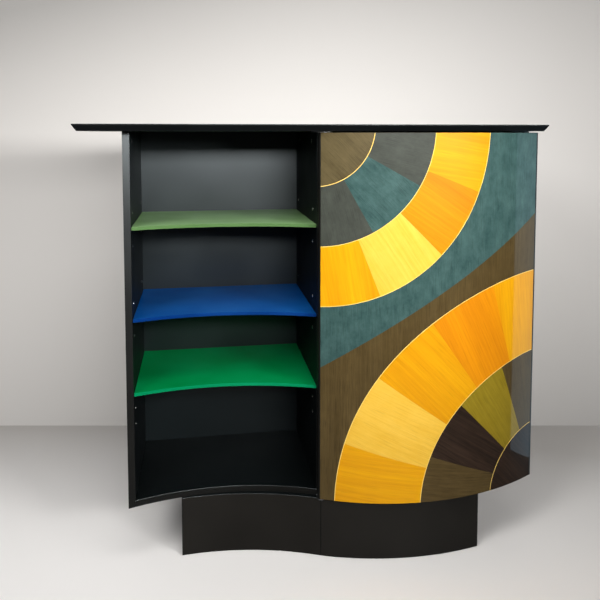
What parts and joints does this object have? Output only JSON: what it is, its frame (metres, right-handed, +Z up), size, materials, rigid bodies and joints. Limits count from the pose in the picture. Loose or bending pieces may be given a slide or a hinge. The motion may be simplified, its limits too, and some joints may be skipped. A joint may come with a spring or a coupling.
{
  "type": "credenza",
  "caption": "Tall S-curved cabinet with a hollow open bay of tinted glass shelves, a bowed bay behind a turning marquetry door, an overhanging thin top slab and a set-back curved plinth.",
  "frame": {"origin": "on the floor, under the middle of the cabinet's bounding box", "axes": "+X to the right along the top slab, +Y to the back panel, +Z up"},
  "size_m": [1.404, 0.5139, 1.33],
  "materials": {
    "black_lacquer": "satin black lacquer on board",
    "marquetry": "dyed veneers with pale stringing under high-gloss lacquer",
    "inner_veneer": "dark plain veneer under satin lacquer",
    "board_core": "bare board, hidden",
    "glass_light_green": "polished tinted glass",
    "glass_blue": "polished tinted glass",
    "glass_green": "polished tinted glass",
    "nickel": "bright nickel plate",
    "steel": "brushed zinc-plated steel",
    "magnet": "nickel-plated magnet",
    "brass": "turned brass",
    "beech": "bare beech",
    "glide_plastic": "matt black"
  },
  "bodies": {
    "cabinet": {"back_panel": "black_lacquer", "back_screws": "steel", "bottom_panel": "black_lacquer", "carcass_dowels": "beech", "catch_magnets": "magnet", "centre_partition": "black_lacquer", "floor_glides": "glide_plastic", "left_lower_shelf": "glass_green", "left_middle_shelf": "glass_blue", "left_plinth_end": "black_lacquer", "left_plinth_front": "black_lacquer", "left_plinth_rail": "black_lacquer", "left_plinth_seam_board": "black_lacquer", "left_shelf_pins": "nickel", "left_side_panel": "black_lacquer", "left_side_pin_sleeves": "nickel", "left_upper_shelf": "glass_light_green", "lower_pivot_pin": "steel", "lower_pivot_plate": "steel", "partition_left_pin_sleeves": "nickel", "partition_right_pin_sleeves": "nickel", "pivot_plate_screws": "steel", "plinth_dowels": "beech", "right_lower_shelf": "glass_green", "right_middle_shelf": "glass_blue", "right_plinth_end": "black_lacquer", "right_plinth_front": "black_lacquer", "right_plinth_rail": "black_lacquer", "right_plinth_seam_board": "black_lacquer", "right_shelf_pins": "nickel", "right_side_panel": "black_lacquer", "right_side_pin_sleeves": "nickel", "right_upper_shelf": "glass_light_green", "slab_bolts": "steel", "slab_cams": "nickel", "thrust_washer": "brass", "top_slab": "black_lacquer", "upper_pivot_pin": "steel", "upper_pivot_plate": "steel"},
    "door": {"door_core": "board_core", "door_marquetry_face": "marquetry", "door_inner_veneer": "inner_veneer", "door_hinge_lipping": "black_lacquer", "door_tip_lipping": "black_lacquer", "door_strike_discs": "steel", "upper_door_bush": "brass", "lower_door_bush": "brass"}
  },
  "joints": [
    {"name": "door_pivot", "type": "hinge", "parent": "cabinet", "child": "door", "pos_m": [0, -0.18002, 0.189], "axis": [0, 0, 1], "range_deg": [-180, 0]}
  ]
}
